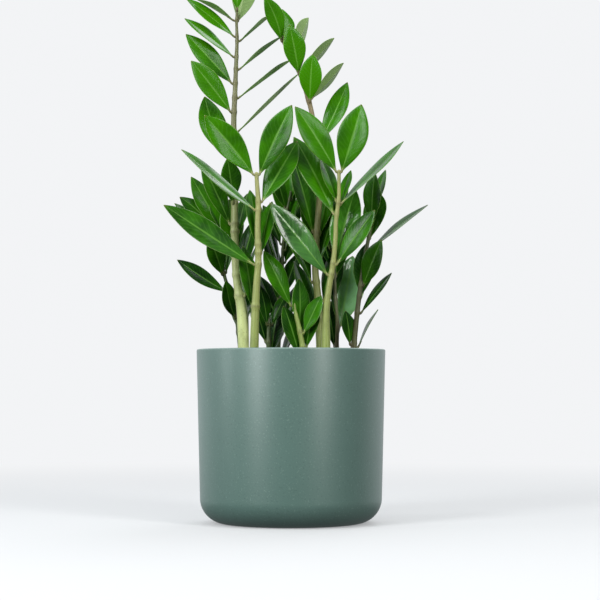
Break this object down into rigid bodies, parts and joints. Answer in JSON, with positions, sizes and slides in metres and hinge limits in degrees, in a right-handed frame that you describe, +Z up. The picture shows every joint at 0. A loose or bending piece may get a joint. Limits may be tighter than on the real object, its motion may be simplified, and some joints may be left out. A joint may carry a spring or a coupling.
{
  "type": "potted zz plant",
  "caption": "Live zz plant with upright fronds of glossy pointed leaflets on pale fleshy stems, growing from soil in a plain matte grey-green planter with a rounded foot.",
  "frame": {"origin": "centre of the planter's flat foot, on the surface it stands on", "axes": "+Z up along the planter's axis and the fronds, +X to the right and +Y to the back as seen from the side the fronds lean towards"},
  "size_m": [0.2503, 0.18, 0.5452],
  "materials": {
    "planter": "matte grey-green with fine speckles",
    "soil": "loose dark potting soil",
    "stem": "smooth pale yellow-green",
    "leaflet": "glossy deep green"
  },
  "bodies": {
    "root": {"planter": "planter", "soil": "soil", "back_left_stem": "stem", "far_right_stem": "stem", "front_left_stem": "stem", "front_right_stem": "stem", "left_tall_stem": "stem", "right_tall_stem": "stem", "short_inner_stem": "stem", "short_middle_stem": "stem", "thin_inner_stem": "stem", "thin_right_stem": "stem", "back_left_leaflet_01": "leaflet", "back_left_leaflet_02": "leaflet", "back_left_leaflet_03": "leaflet", "far_right_leaflet_01": "leaflet", "far_right_leaflet_02": "leaflet", "far_right_leaflet_03": "leaflet", "far_right_leaflet_04": "leaflet", "far_right_leaflet_05": "leaflet", "far_right_leaflet_06": "leaflet", "front_left_leaflet_01": "leaflet", "front_left_leaflet_02": "leaflet", "front_left_leaflet_03": "leaflet", "front_left_leaflet_04": "leaflet", "front_left_leaflet_05": "leaflet", "front_left_leaflet_06": "leaflet", "front_right_leaflet_01": "leaflet", "front_right_leaflet_02": "leaflet", "front_right_leaflet_03": "leaflet", "front_right_leaflet_04": "leaflet", "front_right_leaflet_05": "leaflet", "front_right_leaflet_06": "leaflet", "front_right_leaflet_07": "leaflet", "left_tall_leaflet_01": "leaflet", "left_tall_leaflet_02": "leaflet", "left_tall_leaflet_03": "leaflet", "left_tall_leaflet_04": "leaflet", "left_tall_leaflet_05": "leaflet", "left_tall_leaflet_06": "leaflet", "left_tall_leaflet_07": "leaflet", "left_tall_leaflet_08": "leaflet", "left_tall_leaflet_09": "leaflet", "left_tall_leaflet_10": "leaflet", "left_tall_leaflet_11": "leaflet", "left_tall_leaflet_12": "leaflet", "left_tall_leaflet_13": "leaflet", "right_tall_leaflet_01": "leaflet", "right_tall_leaflet_02": "leaflet", "right_tall_leaflet_03": "leaflet", "right_tall_leaflet_04": "leaflet", "right_tall_leaflet_05": "leaflet", "right_tall_leaflet_06": "leaflet", "right_tall_leaflet_07": "leaflet", "right_tall_leaflet_08": "leaflet", "short_inner_leaflet_01": "leaflet", "short_middle_leaflet_01": "leaflet", "short_middle_leaflet_02": "leaflet", "thin_right_leaflet_01": "leaflet"}
  },
  "joints": []
}
